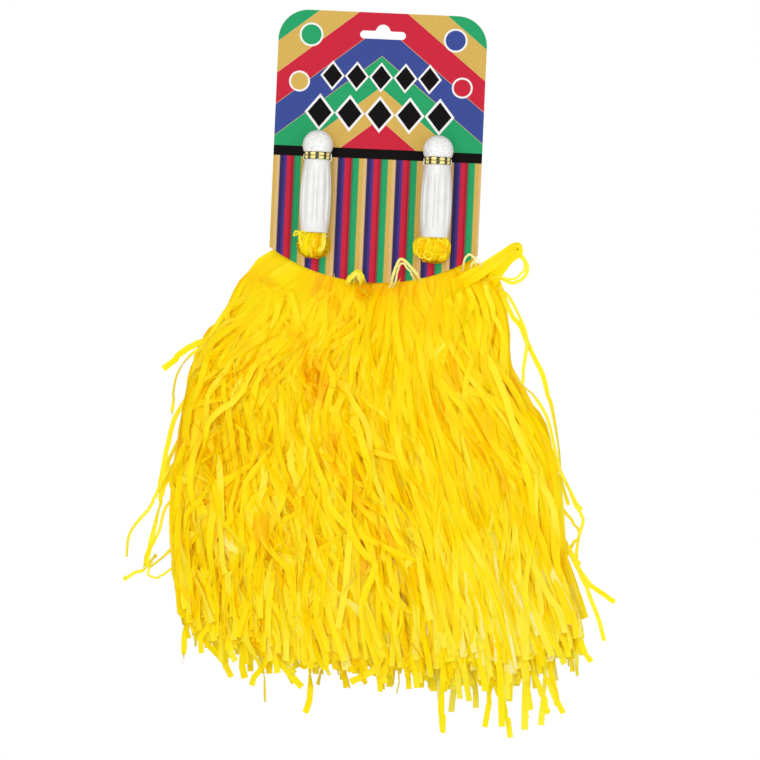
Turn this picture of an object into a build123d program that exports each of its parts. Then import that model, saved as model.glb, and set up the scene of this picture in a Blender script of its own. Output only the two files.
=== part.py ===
from build123d import *
import os

# A pair of film-streamer cheer pom poms, tied to the die-cut card that they are sold and hung on.
# Millimetres, +Z up. The card's front faces -Y. The origin is where a peg carries the card: the top
# of the hang slot's peak, midway through the card's thickness.

# --- Driving dimensions ---

# Display card
card_width = 146.0
card_side_height = 167.0  # top edge to the corners of the curved bottom edge
card_bow = 22.0  # how far the bottom edge curves down between its corners
card_thickness = 0.6
card_corner_radius = 21.0

# Hang slot: a round peak on a wide bar, for a round or a flat peg
slot_width = 32.0
slot_bar_height = 5.6
slot_peak_diameter = 10.2
slot_margin = 8.2  # card left above the peak
slot_fillet = 1.4

# Handles, lying side by side on the front of the card
handle_spacing = 84.0
knob_drop = 84.7  # top edge of the card to the top of a knob
seat_gap = 0.1  # between pieces that rest on each other

# Knob: a hollow ball, cut off at its rim, that caps the handle
knob_radius = 10.6
knob_height = 15.4
knob_rim_fillet = 0.5
knob_socket_depth = 4.0  # how far the handle's neck goes up inside the knob
spigot_length = 12.0
spigot_wall = 1.4
spigot_chamfer = 0.6
spigot_gap = 0.05  # between the spigot and the bore that it is pushed into
knob_core_height = 4.5  # hollow above the neck, up inside the ball

# Grip: the fluted, moulded tube that the hand holds
neck_radius = 6.8
neck_bore_radius = 4.4
groove_height = 5.2  # length of bare neck that the tie sits round
grip_length = 51.0
grip_top_radius = 9.0
grip_belly_radius = 10.7
grip_belly_drop = 29.0  # from the top of the grip to its widest point
grip_mouth_radius = 9.5
grip_top_fillet = 1.2
grip_mouth_fillet = 0.8
socket_radius = 7.5
socket_depth = 46.0

# Flutes moulded into the grip
flute_count = 12
flute_radius = 3.4
flute_depth = 1.0
flute_inset = 2.6  # plain length left at each end of the grip
flute_lead_out = 0.35  # clearance of the flute's cutter at its two ends

# Tie: a cord wound twice round the neck, through the card and knotted behind it
cord_diameter = 2.5
cord_gap = 0.1  # between the cord and what it is drawn against
tie_turns = 2
tie_hole_clearance = 0.8
tie_bend_radius = 1.6
knot_radius = 3.2
knot_lap = 0.3  # how far each end of a turn stops short of the middle of the knot
tail_length = 17.0
tail_spread = 5.0

# Film: the unslit heads of the streamer sheets, rolled up inside the handle
roll_radius = 6.9
roll_length = 38.0
tape_width = 16.0
tape_drop = 6.0  # from the top of the roll to the tape
tape_thickness = 0.4

# Film between the handle's mouth and the back of the card
bunch_radius = 7.8
bunch_swell = 0.2  # the bunch is this much fatter where it turns
bunch_tail = 3.6  # how far it comes out behind the card
hole_width = 24.0
hole_height = 18.4

# Film behind the card: a gathered neck that swings back, and the skirt that sways on it
gather_radius = 12.0
gather_depth = 16.0
joint_gap = 0.3
seam_x = 3.0  # where the two skirts lie against each other
seam_gap = 0.4
skirt_front_y = 1.0  # front of the skirt where it is behind the card
skirt_top_inner_drop = 14.0  # top edge at the seam, below the middle of the hole
skirt_top_outer_drop = 6.5  # top edge at the outer end, below the middle of the hole
skirt_top_reach = 32.0  # outer end of the top edge, from the handle's axis
skirt_bulge = 15.0  # how far the skirt comes forward below the card
skirt_bulge_start = 28.0  # below the middle of the hole
skirt_bulge_full = 85.0
skirt_depth = 46.0  # back of the skirt, behind the card's middle
skirt_split_front = 7.0  # where the front and middle layers part
skirt_split_back = 27.0  # where the middle and back layers part
hem_rise = 14.0  # the hem's front and back edges are shorter than its middle
flank_drop = 98.0  # level at which the skirt's width is given, below the hole

# --- Levels and places worked out from them ---

card_top = slot_margin
card_corner_z = card_top - card_side_height
card_bottom_z = card_corner_z - card_bow
card_back_y = card_thickness / 2
slot_bar_z = slot_bar_height / 2 - slot_peak_diameter

handle_x = handle_spacing / 2
handle_y = -(card_thickness / 2 + grip_belly_radius + seat_gap)
knob_top_z = card_top - knob_drop
rim_z = knob_top_z - knob_height
rim_radius = (knob_radius**2 - (knob_height - knob_radius) ** 2) ** 0.5
neck_top_z = rim_z + knob_socket_depth
spigot_radius = neck_bore_radius - spigot_gap
grip_top_z = rim_z - groove_height
belly_z = grip_top_z - grip_belly_drop
mouth_z = grip_top_z - grip_length
socket_top_z = mouth_z + socket_depth
tie_z = rim_z - groove_height / 2
bunch_turn_radius = bunch_radius + bunch_swell
bunch_drop = bunch_turn_radius + 2 * seat_gap  # from the mouth of the handle to the middle of the hole
hole_z = mouth_z - bunch_drop

cord_radius = cord_diameter / 2
tie_reach = neck_radius + cord_gap + cord_radius  # from the handle's axis to the cord's middle
tie_pitch = cord_diameter + cord_gap
tie_back_y = card_back_y + cord_gap + cord_radius
knot_y = card_back_y + cord_gap + knot_radius

bunch_end_y = card_back_y + bunch_tail
gather_y = bunch_end_y + joint_gap

# Each pom pom: its side of the card, and its skirt's own reach and length
SIDES = {"left": -1, "right": 1}
flank_reach = {"left": 82.0, "right": 83.0}  # outer edge at the flank, from the handle's axis
hem_reach = {"left": 105.0, "right": 124.0}  # outer edge at the hem, from the handle's axis
outer_drop = {"left": 288.0, "right": 312.0}  # hole to the hem's outer corner
inner_drop = {"left": 306.0, "right": 322.0}  # hole to the hem at the seam

# Each layer of film: how much narrower and shorter it is than the widest and longest one
LAYERS = {"front": (9.0, 12.0), "middle": (0.0, 0.0), "back": (6.0, 8.0)}

os.makedirs("parts", exist_ok=True)


# --- Display card ---

with BuildPart() as display_card:
    with BuildSketch(Plane.XZ) as blank:
        with BuildLine():
            ThreePointArc(
                (-card_width / 2, card_corner_z),
                (0, card_bottom_z),
                (card_width / 2, card_corner_z),
            )
            Polyline(
                (card_width / 2, card_corner_z),
                (card_width / 2, card_top),
                (-card_width / 2, card_top),
                (-card_width / 2, card_corner_z),
            )
        make_face()
        fillet(blank.vertices().group_by(Axis.Y)[-1], radius=card_corner_radius)
    extrude(amount=card_thickness / 2, both=True)
    # Hang slot
    with BuildSketch(Plane.XZ) as slot:
        with Locations((0, slot_bar_z)):
            SlotOverall(slot_width, slot_bar_height)
        with Locations((0, -slot_peak_diameter / 2)):
            Circle(slot_peak_diameter / 2)
        shoulders = slot.vertices().group_by(Axis.Y)[-1]
        fillet(shoulders, radius=slot_fillet)
    extrude(amount=card_thickness, both=True, mode=Mode.SUBTRACT)
    # Holes that the two bunches of film pass through
    with BuildSketch(Plane.XZ):
        with Locations((-handle_x, hole_z), (handle_x, hole_z)):
            SlotOverall(hole_width, hole_height)
    extrude(amount=card_thickness, both=True, mode=Mode.SUBTRACT)
    # Holes for the ties, one each side of each neck
    with BuildSketch(Plane.XZ):
        with Locations((-handle_x, tie_z), (handle_x, tie_z)):
            with GridLocations(2 * tie_reach, 0, 2, 1):
                SlotOverall(
                    tie_turns * tie_pitch + tie_hole_clearance,
                    cord_diameter + tie_hole_clearance,
                    rotation=90,
                )
    extrude(amount=card_thickness, both=True, mode=Mode.SUBTRACT)
display_card.part.label = "display_card"
export_step(display_card.part, "parts/display_card.step")


# --- Flute cutter, on the handle's own axis ---

flute_end_reach = flute_radius + flute_lead_out

with BuildPart() as flute:
    with BuildLine(Plane.XZ) as flute_path:
        ThreePointArc(
            (grip_top_radius + flute_end_reach, grip_top_z - flute_inset),
            (grip_belly_radius + flute_radius - flute_depth, belly_z),
            (grip_mouth_radius + flute_end_reach, mouth_z + flute_inset),
        )
    with BuildSketch(Plane(origin=flute_path.line @ 0, z_dir=flute_path.line % 0)):
        Circle(flute_radius)
    sweep(path=flute_path.line)


# --- One pom pom at a time ---

for side, sign in SIDES.items():
    axis_x = sign * handle_x
    handle_axis = Axis((axis_x, handle_y, 0), (0, 0, 1))
    section = Plane(origin=(axis_x, handle_y, 0), x_dir=(1, 0, 0), z_dir=(0, -1, 0))

    # Knob: ball, overhanging rim, socket for the neck and a tubular spigot down its bore
    with BuildPart() as handle_knob:
        with BuildSketch(section) as knob_half:
            with BuildLine():
                ThreePointArc(
                    (0, knob_top_z),
                    (knob_radius, knob_top_z - knob_radius),
                    (rim_radius, rim_z),
                )
                Polyline(
                    (rim_radius, rim_z),
                    (neck_radius + seat_gap, rim_z),
                    (neck_radius + seat_gap, neck_top_z),
                    (spigot_radius, neck_top_z),
                    (spigot_radius, neck_top_z - spigot_length),
                    (spigot_radius - spigot_wall, neck_top_z - spigot_length),
                    (spigot_radius - spigot_wall, neck_top_z + knob_core_height),
                    (0, neck_top_z + knob_core_height),
                    (0, knob_top_z),
                )
            make_face()
            spigot_tip = knob_half.vertices().group_by(Axis.Y)[0].sort_by(Axis.X)[-1]
            chamfer(spigot_tip, length=spigot_chamfer)
        revolve(axis=handle_axis)
        rim = handle_knob.edges().filter_by_position(Axis.Z, rim_z, rim_z)
        fillet(rim.sort_by(SortBy.RADIUS)[-1], radius=knob_rim_fillet)
    handle_knob.part.label = f"handle_knob_{side}"
    export_step(handle_knob.part, f"parts/handle_knob_{side}.step")

    # Grip: barrel-shaped tube with a socket for the film, a neck for the tie and moulded flutes
    with BuildPart() as handle_grip:
        with BuildSketch(section) as grip_half:
            with BuildLine():
                TangentArc(
                    (grip_belly_radius, belly_z),
                    (grip_top_radius, grip_top_z),
                    tangent=(0, 1),
                )
                TangentArc(
                    (grip_belly_radius, belly_z),
                    (grip_mouth_radius, mouth_z),
                    tangent=(0, -1),
                )
                Polyline(
                    (grip_mouth_radius, mouth_z),
                    (socket_radius, mouth_z),
                    (socket_radius, socket_top_z),
                    (neck_bore_radius, socket_top_z),
                    (neck_bore_radius, neck_top_z),
                    (neck_radius, neck_top_z),
                    (neck_radius, grip_top_z),
                    (grip_top_radius, grip_top_z),
                )
            make_face()
            top_edge = grip_half.vertices().sort_by_distance((grip_top_radius, grip_top_z))[0]
            fillet(top_edge, radius=grip_top_fillet)
            mouth_edge = grip_half.vertices().sort_by_distance((grip_mouth_radius, mouth_z))[0]
            fillet(mouth_edge, radius=grip_mouth_fillet)
        revolve(axis=handle_axis)
        with Locations((axis_x, handle_y, 0)):
            with PolarLocations(0, flute_count, start_angle=180 / flute_count):
                add(flute.part, mode=Mode.SUBTRACT)
    handle_grip.part.label = f"handle_grip_{side}"
    export_step(handle_grip.part, f"parts/handle_grip_{side}.step")

    # Tie: turns round the neck that close behind the card, with a knot and two tails
    with BuildPart() as neck_tie:
        for turn in range(tie_turns):
            turn_z = tie_z + (turn - (tie_turns - 1) / 2) * tie_pitch
            right_x = axis_x + tie_reach
            left_x = axis_x - tie_reach
            with BuildLine(Plane.XY.offset(turn_z)) as route:
                FilletPolyline(
                    (axis_x - knot_lap, tie_back_y),
                    (left_x, tie_back_y),
                    (left_x, handle_y),
                    radius=tie_bend_radius,
                )
                ThreePointArc(
                    (left_x, handle_y),
                    (axis_x, handle_y - tie_reach),
                    (right_x, handle_y),
                )
                FilletPolyline(
                    (right_x, handle_y),
                    (right_x, tie_back_y),
                    (axis_x + knot_lap, tie_back_y),
                    radius=tie_bend_radius,
                )
            with BuildSketch(Plane(origin=route.line @ 0, z_dir=(-1, 0, 0))):
                Circle(cord_radius)
            sweep(path=route.line)
        with Locations((axis_x, knot_y, tie_z)):
            Sphere(knot_radius)
        for tail in (-1, 1):
            tail_top = Vector(axis_x, knot_y, tie_z)
            tail_end = tail_top + Vector(tail * tail_spread, 0, -tail_length)
            tail_plane = Plane(origin=tail_top, z_dir=tail_end - tail_top)
            with BuildSketch(tail_plane):
                Circle(cord_radius)
            extrude(amount=(tail_end - tail_top).length)
    neck_tie.part.label = f"neck_tie_{side}"
    export_step(neck_tie.part, f"parts/neck_tie_{side}.step")

    # Rolled heads of the film sheets, up inside the socket
    with BuildPart() as film_roll:
        with BuildSketch(Plane(origin=(axis_x, handle_y, mouth_z - seat_gap))):
            Circle(roll_radius)
        extrude(amount=roll_length)
    film_roll.part.label = f"film_roll_{side}"
    export_step(film_roll.part, f"parts/film_roll_{side}.step")

    # Tape wound round the roll before it goes into the socket
    tape_top_z = mouth_z - seat_gap + roll_length - tape_drop
    with BuildPart() as roll_tape:
        with BuildSketch(Plane(origin=(axis_x, handle_y, tape_top_z - tape_width))):
            Circle(roll_radius + tape_thickness)
            Circle(roll_radius, mode=Mode.SUBTRACT)
        extrude(amount=tape_width)
    roll_tape.part.label = f"roll_tape_{side}"
    export_step(roll_tape.part, f"parts/roll_tape_{side}.step")

    # Bunch of film that leaves the mouth, turns back and passes through the card
    with BuildPart() as film_bunch:
        with BuildSketch(Plane(origin=(axis_x, handle_y, hole_z))):
            Circle(bunch_radius)
        extrude(amount=bunch_turn_radius)
        with Locations((axis_x, handle_y, hole_z)):
            Sphere(bunch_turn_radius)
        bunch_end = Plane(origin=(axis_x, bunch_end_y, hole_z), z_dir=(0, -1, 0))
        with BuildSketch(bunch_end):
            Circle(bunch_radius)
        extrude(amount=bunch_end_y - handle_y)
    film_bunch.part.label = f"film_bunch_{side}"
    export_step(film_bunch.part, f"parts/film_bunch_{side}.step")

    # Gathered neck behind the card, round the axis that the skirt sways on
    with BuildPart() as film_gather:
        gather_back = Plane(
            origin=(axis_x, gather_y + gather_depth, hole_z), z_dir=(0, -1, 0)
        )
        with BuildSketch(gather_back):
            Circle(gather_radius)
        extrude(amount=gather_depth)
    film_gather.part.label = f"film_gather_{side}"
    export_step(film_gather.part, f"parts/film_gather_{side}.step")

    # Skirt: three layers of streamers, parted from front to back
    hem_z = hole_z - inner_drop[side]
    bulge_start_z = hole_z - skirt_bulge_start
    bulge_full_z = hole_z - skirt_bulge_full
    top_z = hole_z + gather_radius
    gather_back_y = gather_y + gather_depth
    inner_x = seam_x + sign * seam_gap
    # Lines down the side view that bound the layers: (y, z) from top to hem
    front_line = [
        (skirt_front_y, top_z),
        (skirt_front_y, bulge_start_z),
        (-skirt_bulge, bulge_full_z),
        (-skirt_bulge, hem_z + hem_rise),
        (-skirt_bulge + hem_rise, hem_z),
    ]
    split_front_line = [
        (gather_y + gather_depth / 3, top_z),
        (gather_y + gather_depth / 3, bulge_start_z),
        (skirt_split_front, bulge_full_z),
        (skirt_split_front, hem_z),
    ]
    split_back_line = [
        (gather_y + gather_depth * 2 / 3, top_z),
        (gather_y + gather_depth * 2 / 3, bulge_start_z),
        (skirt_split_back, bulge_full_z),
        (skirt_split_back, hem_z),
    ]
    back_line = [
        (gather_back_y, top_z),
        (gather_back_y, bulge_start_z),
        (skirt_depth, bulge_full_z),
        (skirt_depth, hem_z + hem_rise),
        (skirt_depth - hem_rise, hem_z),
    ]
    bounds = {
        "front": (front_line, split_front_line),
        "middle": (split_front_line, split_back_line),
        "back": (split_back_line, back_line),
    }
    for layer, (narrower, shorter) in LAYERS.items():
        near, far = bounds[layer]
        outer_top = (axis_x + sign * skirt_top_reach, hole_z - skirt_top_outer_drop)
        flank = (axis_x + sign * (flank_reach[side] - narrower), hole_z - flank_drop)
        corner = (
            axis_x + sign * (hem_reach[side] - narrower),
            hole_z - outer_drop[side] + shorter,
        )
        inner_hem = (inner_x, hem_z + shorter)
        hem_middle = (
            (corner[0] + inner_hem[0]) / 2,
            min(corner[1], inner_hem[1]) - shorter / 4,
        )
        with BuildPart() as skirt_layer:
            with BuildSketch(Plane.YZ):
                with BuildLine():
                    Polyline(*near, *reversed(far), near[0])
                make_face()
            extrude(amount=2 * card_width, both=True)
            with BuildSketch(Plane.XZ):
                with BuildLine():
                    Polyline(
                        inner_hem,
                        (inner_x, hole_z - skirt_top_inner_drop),
                        outer_top,
                    )
                    Spline(outer_top, flank, corner)
                    ThreePointArc(corner, hem_middle, inner_hem)
                make_face()
            extrude(amount=2 * skirt_depth, both=True, mode=Mode.INTERSECT)
            with BuildSketch(Plane.XZ):
                with Locations((axis_x, hole_z)):
                    Circle(gather_radius + joint_gap)
            extrude(amount=2 * skirt_depth, both=True, mode=Mode.SUBTRACT)
        skirt_layer.part.label = f"skirt_{layer}_{side}"
        export_step(skirt_layer.part, f"parts/skirt_{layer}_{side}.step")
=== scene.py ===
import math

import bpy
import numpy as np
from mathutils import Matrix, Vector


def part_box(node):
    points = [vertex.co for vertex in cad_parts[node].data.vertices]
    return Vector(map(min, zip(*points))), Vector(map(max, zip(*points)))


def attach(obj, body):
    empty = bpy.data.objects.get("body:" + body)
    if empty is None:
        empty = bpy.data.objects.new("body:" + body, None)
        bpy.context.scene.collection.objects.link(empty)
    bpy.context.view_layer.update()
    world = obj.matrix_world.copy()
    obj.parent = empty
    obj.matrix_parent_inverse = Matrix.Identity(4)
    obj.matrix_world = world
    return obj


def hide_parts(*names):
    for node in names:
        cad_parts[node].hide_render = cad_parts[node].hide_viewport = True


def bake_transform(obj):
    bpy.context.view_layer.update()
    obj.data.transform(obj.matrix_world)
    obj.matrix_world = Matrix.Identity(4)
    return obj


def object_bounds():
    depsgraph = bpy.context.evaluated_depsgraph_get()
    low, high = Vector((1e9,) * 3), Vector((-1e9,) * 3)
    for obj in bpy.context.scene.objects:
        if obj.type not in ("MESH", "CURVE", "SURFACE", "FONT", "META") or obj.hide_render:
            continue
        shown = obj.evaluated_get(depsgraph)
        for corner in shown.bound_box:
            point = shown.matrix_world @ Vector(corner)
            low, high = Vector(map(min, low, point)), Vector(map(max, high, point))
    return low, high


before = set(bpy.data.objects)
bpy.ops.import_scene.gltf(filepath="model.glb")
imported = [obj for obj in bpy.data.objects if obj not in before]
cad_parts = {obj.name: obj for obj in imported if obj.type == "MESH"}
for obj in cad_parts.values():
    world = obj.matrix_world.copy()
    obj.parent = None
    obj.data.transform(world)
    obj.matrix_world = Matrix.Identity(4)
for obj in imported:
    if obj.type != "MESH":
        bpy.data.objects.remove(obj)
cad_low, cad_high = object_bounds()

# A pair of film-streamer cheer pom poms on their display card. Metres, +Z up, card front faces -Y.

MM = 0.001
SIDES = {"left": -1, "right": 1}
FRONT = np.array([0.0, -1.0, 0.0])

# --- Places read from the frame ---

card_low, card_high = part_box("display_card")
card_half_width = card_high.x
card_back_y = card_high.y
card_bow = 22 * MM  # how far the card's bottom edge curves down at its middle
card_corner_z = card_low.z + card_bow


def middle(node):
    low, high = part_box(node)
    return np.array((low + high) / 2)


def smooth(low, high, value):
    """0 at low, 1 at high, and a smooth step between."""
    t = np.clip((value - low) / (high - low), 0, 1)
    return t * t * (3 - 2 * t)


def card_edge_z(x):
    """Height of the card's bottom edge at x."""
    return card_corner_z - card_bow * (1 - np.clip(x / card_half_width, -1, 1) ** 2)


# --- Camera, light and floor ---

CAMERA_DISTANCE = 2.4
CAMERA_AIM = (0.0084, 0.0, -0.2486)
CAMERA_ROLL = math.radians(2.5)  # the pack hangs this far clockwise in the view
VIEW_WIDTH = 0.532  # width of the view at the card
SENSOR_WIDTH = 36.0
FLOOR_DROP = 0.36  # the floor lies this far below the streamers
FLOOR_HALF_WIDTH = 12.0
LAMP_AIM = (0.0, 0.0, -0.25)
WORLD_STRENGTH = 0.60
PURE_WHITE = (1.0, 1.0, 1.0)


def add_object(name, data):
    made = bpy.data.objects.new(name, data)
    bpy.context.scene.collection.objects.link(made)
    return made


def make_camera():
    data = bpy.data.cameras.new("camera")
    data.sensor_width = SENSOR_WIDTH
    data.lens = SENSOR_WIDTH * CAMERA_DISTANCE / VIEW_WIDTH
    camera = add_object("camera", data)
    c, s = math.cos(CAMERA_ROLL), math.sin(CAMERA_ROLL)
    turn = Matrix(((c, -s, 0, 0), (0, 0, -1, 0), (s, c, 0, 0), (0, 0, 0, 1)))
    x, y, z = CAMERA_AIM
    camera.matrix_world = Matrix.Translation((x, y - CAMERA_DISTANCE, z)) @ turn
    bpy.context.scene.camera = camera


def make_lamp(name, place, size, watts):
    """A square lamp that looks at the middle of the streamers."""
    data = bpy.data.lights.new(name, "AREA")
    data.shape = "SQUARE"
    data.size = size
    data.energy = watts
    lamp = add_object(name, data)
    lamp.location = place
    lamp.rotation_mode = "QUATERNION"
    back = Vector(np.array(place) - np.array(LAMP_AIM))
    lamp.rotation_quaternion = back.to_track_quat("Z", "Y")


class Graph:
    """The nodes of a material or a world, with short calls for what a procedural pattern needs."""

    def __init__(self, owner):
        owner.use_nodes = True
        self.owner = owner
        self.tree = owner.node_tree
        self.tree.nodes.clear()

    def node(self, kind, **settings):
        made = self.tree.nodes.new(f"ShaderNode{kind}")
        for name, value in settings.items():
            setattr(made, name, value)
        return made

    def put(self, socket, value):
        if isinstance(value, bpy.types.NodeSocket):
            self.tree.links.new(value, socket)
        elif isinstance(value, (tuple, list)) and len(value) == 3 and socket.type == "RGBA":
            socket.default_value = (*value, 1)
        else:
            socket.default_value = value

    def math(self, operation, a, b=0.0, c=0.0):
        made = self.node("Math", operation=operation)
        for socket, value in zip(made.inputs, (a, b, c)):
            self.put(socket, value)
        return made.outputs[0]

    def distance(self, a, b):
        return self.math("SQRT", self.math("ADD", self.math("POWER", a, 2.0), self.math("POWER", b, 2.0)))

    def blend(self, share, a, b, blend_type="MIX"):
        made = self.node("Mix", data_type="RGBA", blend_type=blend_type)
        for number, value in ((0, share), (6, a), (7, b)):
            self.put(made.inputs[number], value)
        return made.outputs[2]

    def steps(self, value, stops, interpolation="LINEAR"):
        made = self.node("ValToRGB")
        ramp = made.color_ramp
        ramp.interpolation = interpolation
        while len(ramp.elements) < len(stops):
            ramp.elements.new(1.0)
        for element, (place, colour) in zip(ramp.elements, stops):
            element.position = place
            element.color = (*colour, 1)
        self.put(made.inputs[0], value)
        return made.outputs[0]

    def fed(self, kind, **sockets):
        """First output of a new node whose inputs have the values of the same names."""
        made = self.node(kind)
        for name, value in sockets.items():
            self.put(made.inputs[name.replace("_", " ")], value)
        return made.outputs[0]

    def coordinate(self, name):
        return self.node("TexCoord").outputs[name]

    def split(self, vector):
        made = self.node("SeparateXYZ")
        self.put(made.inputs[0], vector)
        return made.outputs

    def noise(self, scale, detail=3.0, roughness=0.5):
        where = self.coordinate("Object")
        return self.fed("TexNoise", Vector=where, Scale=scale, Detail=detail, Roughness=roughness)

    def bump(self, height, distance, strength=1.0):
        return self.fed("Bump", Height=height, Distance=distance, Strength=strength)

    def value(self, name):
        return self.node("Attribute", attribute_name=name).outputs["Fac"]

    def mix_shaders(self, share, a, b):
        made = self.node("MixShader")
        for socket, value in zip(made.inputs, (share, a, b)):
            self.put(socket, value)
        return made.outputs[0]

    def surface(self, shader):
        """The material, finished with a shader."""
        self.put(self.node("OutputMaterial").inputs[0], shader)
        return self.owner

    def principled(self, **sockets):
        return self.fed("BsdfPrincipled", **sockets)


def seen_directly(graph):
    """1 for rays that show what is behind the object: straight, mirrored or through it."""
    path = graph.node("LightPath")
    seen = graph.math("MAXIMUM", path.outputs["Is Camera Ray"], path.outputs["Is Glossy Ray"])
    return graph.math("MAXIMUM", seen, path.outputs["Is Transmission Ray"])


def make_world():
    """Even light from all round, behind which the view finds plain white."""
    world = bpy.data.worlds.new("studio")
    bpy.context.scene.world = world
    graph = Graph(world)
    light = graph.fed("Background", Color=PURE_WHITE, Strength=WORLD_STRENGTH)
    white = graph.fed("Background", Color=PURE_WHITE)
    either = graph.mix_shaders(seen_directly(graph), light, white)
    graph.put(graph.node("OutputWorld").inputs[0], either)


def make_floor():
    """A white floor that takes shadows near the object and glows where the view looks farther out."""
    half, floor_z = FLOOR_HALF_WIDTH, cad_low.z - FLOOR_DROP
    mesh = bpy.data.meshes.new("floor")
    corners = [(-half, -half), (half, -half), (half, half), (-half, half)]
    mesh.from_pydata([(x, y, floor_z) for x, y in corners], [], [(0, 1, 2, 3)])
    floor = add_object("floor", mesh)
    graph = Graph(bpy.data.materials.new("floor_white"))
    paint = graph.fed("BsdfDiffuse", Color=(0.9, 0.9, 0.9))
    glow = graph.fed("Emission", Color=PURE_WHITE)
    x, y, _ = graph.split(graph.coordinate("Object"))
    fade = graph.math("MINIMUM", graph.math("MULTIPLY_ADD", graph.distance(x, y), 0.4, 0.6), 1.0)
    share = graph.math("MULTIPLY", seen_directly(graph), fade)
    mesh.materials.append(graph.surface(graph.mix_shaders(share, paint, glow)))


make_camera()
make_world()
make_floor()
make_lamp("key", (-0.4, -2.2, 0.2), 1.5, 21)
make_lamp("fill", (1.2, -1.5, 0.0), 1.3, 4)
make_lamp("back", (0.3, 1.8, 0.7), 1.4, 9)
bpy.context.scene.view_settings.view_transform = "Standard"
cycles = bpy.context.scene.cycles
cycles.max_bounces = 28
cycles.diffuse_bounces = cycles.glossy_bounces = cycles.transmission_bounces = 24

# --- Materials ---

GOLD = (0.665, 0.435, 0.10)
PEACH = (0.73, 0.49, 0.22)
GREEN = (0.022, 0.36, 0.135)
GREEN_DARK = (0.020, 0.19, 0.075)
BLUE = (0.046, 0.075, 0.30)
NAVY = (0.032, 0.024, 0.115)
VIOLET = (0.065, 0.038, 0.24)
RED = (0.60, 0.021, 0.048)
RED_DARK = (0.40, 0.012, 0.035)
BLACK = (0.004, 0.003, 0.003)
WHITE = (0.90, 0.89, 0.87)

STRIPE_PITCH = 20.3  # mm, gold to gold
STRIPE_START = -73.0
STRIPES = [
    (0.0, GOLD), (0.10, GOLD), (0.14, PEACH), (0.21, PEACH),
    (0.25, NAVY), (0.34, NAVY), (0.40, VIOLET), (0.45, VIOLET),
    (0.49, RED), (0.60, RED), (0.66, RED_DARK), (0.70, RED_DARK),
    (0.74, GREEN_DARK), (0.80, GREEN), (0.95, GREEN), (0.98, GOLD),
]
BAND_TOP, BAND_BOTTOM = -87.3, -94.3  # mm, the black band across the card
CHEVRON_PITCH = 88.0  # mm, four colours
CHEVRON_SLOPE = 0.8
CHEVRONS = [
    (0.0, RED), (0.245, PEACH), (0.25, GOLD), (0.495, PEACH),
    (0.50, GREEN), (0.745, PEACH), (0.75, BLUE), (0.995, PEACH),
]
# Rows of black lozenges with white outlines, in mm: middle height, lozenge width and height, half row
LOZENGE_ROWS = [(-37.0, 17.0, 21.0, 42.5), (-63.0, 21.0, 26.0, 52.5)]
LOZENGE_OUTLINE = 0.20  # as a share of the lozenge
# Roundels with white outlines, in mm: place, radius, colour
ROUNDELS = [
    ((-50.0, -9.0), 7.0, GREEN), ((51.0, -9.0), 7.0, BLUE),
    ((-57.0, -42.0), 6.0, GOLD), ((57.0, -42.0), 6.0, RED),
]
ROUNDEL_OUTLINE = 1.3


def header_print(graph, x, z):
    """Chevrons under two rows of lozenges and four roundels. x and z in mm."""
    op = graph.math
    climb = op("MULTIPLY", op("ABSOLUTE", x), CHEVRON_SLOPE)
    turn = op("DIVIDE", op("ADD", z, climb), CHEVRON_PITCH)
    colour = graph.steps(op("FRACT", turn), CHEVRONS, "CONSTANT")
    for row_z, wide, high, half in LOZENGE_ROWS:
        step = op("FRACT", op("ADD", op("DIVIDE", x, wide), 0.5))
        across = op("MULTIPLY", op("ABSOLUTE", op("SUBTRACT", step, 0.5)), 2.0)
        up = op("ABSOLUTE", op("SUBTRACT", z, row_z))
        size = op("ADD", across, op("DIVIDE", up, high / 2))
        within = op("LESS_THAN", op("ABSOLUTE", x), half)
        outer = op("MULTIPLY", op("LESS_THAN", size, 1.0), within)
        inner = op("MULTIPLY", op("LESS_THAN", size, 1.0 - LOZENGE_OUTLINE), within)
        colour = graph.blend(outer, colour, WHITE)
        colour = graph.blend(inner, colour, BLACK)
    for (cx, cz), radius, fill in ROUNDELS:
        far = graph.distance(op("SUBTRACT", x, cx), op("SUBTRACT", z, cz))
        colour = graph.blend(op("LESS_THAN", far, radius + ROUNDEL_OUTLINE), colour, WHITE)
        colour = graph.blend(op("LESS_THAN", far, radius), colour, fill)
    return colour


def card_material():
    """Board with coated print in front, and bare behind and at its cut edges."""
    graph = Graph(bpy.data.materials.new("printed_board"))
    x, _, z = graph.split(graph.coordinate("Object"))
    x = graph.math("MULTIPLY", x, 1000.0)
    z = graph.math("MULTIPLY", z, 1000.0)
    period = graph.math("DIVIDE", graph.math("SUBTRACT", x, STRIPE_START), STRIPE_PITCH)
    stripes = graph.steps(graph.math("FRACT", period), STRIPES)
    print_colour = graph.blend(graph.math("GREATER_THAN", z, BAND_BOTTOM), stripes, BLACK)
    header = header_print(graph, x, z)
    print_colour = graph.blend(graph.math("GREATER_THAN", z, BAND_TOP), print_colour, header)
    mottle = graph.steps(graph.noise(900.0, 2.0), [(0.3, (0.90, 0.90, 0.90)), (0.7, PURE_WHITE)])
    print_colour = graph.blend(1.0, print_colour, mottle, "MULTIPLY")
    fibres = graph.noise(1600.0, 4.0)
    board = graph.steps(fibres, [(0.35, (0.52, 0.50, 0.46)), (0.7, (0.70, 0.68, 0.64))])
    printed = graph.math("LESS_THAN", graph.split(graph.coordinate("Normal"))[1], -0.5)
    roughness = graph.math("MULTIPLY_ADD", printed, -0.42, 0.85)
    roughness = graph.math("MULTIPLY_ADD", graph.noise(120.0), 0.1, roughness)
    return graph.surface(graph.principled(
        Base_Color=graph.blend(printed, board, print_colour), Roughness=roughness,
        Normal=graph.bump(graph.noise(500.0, 4.0), 0.00004), Specular_IOR_Level=0.04,
    ))


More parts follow.
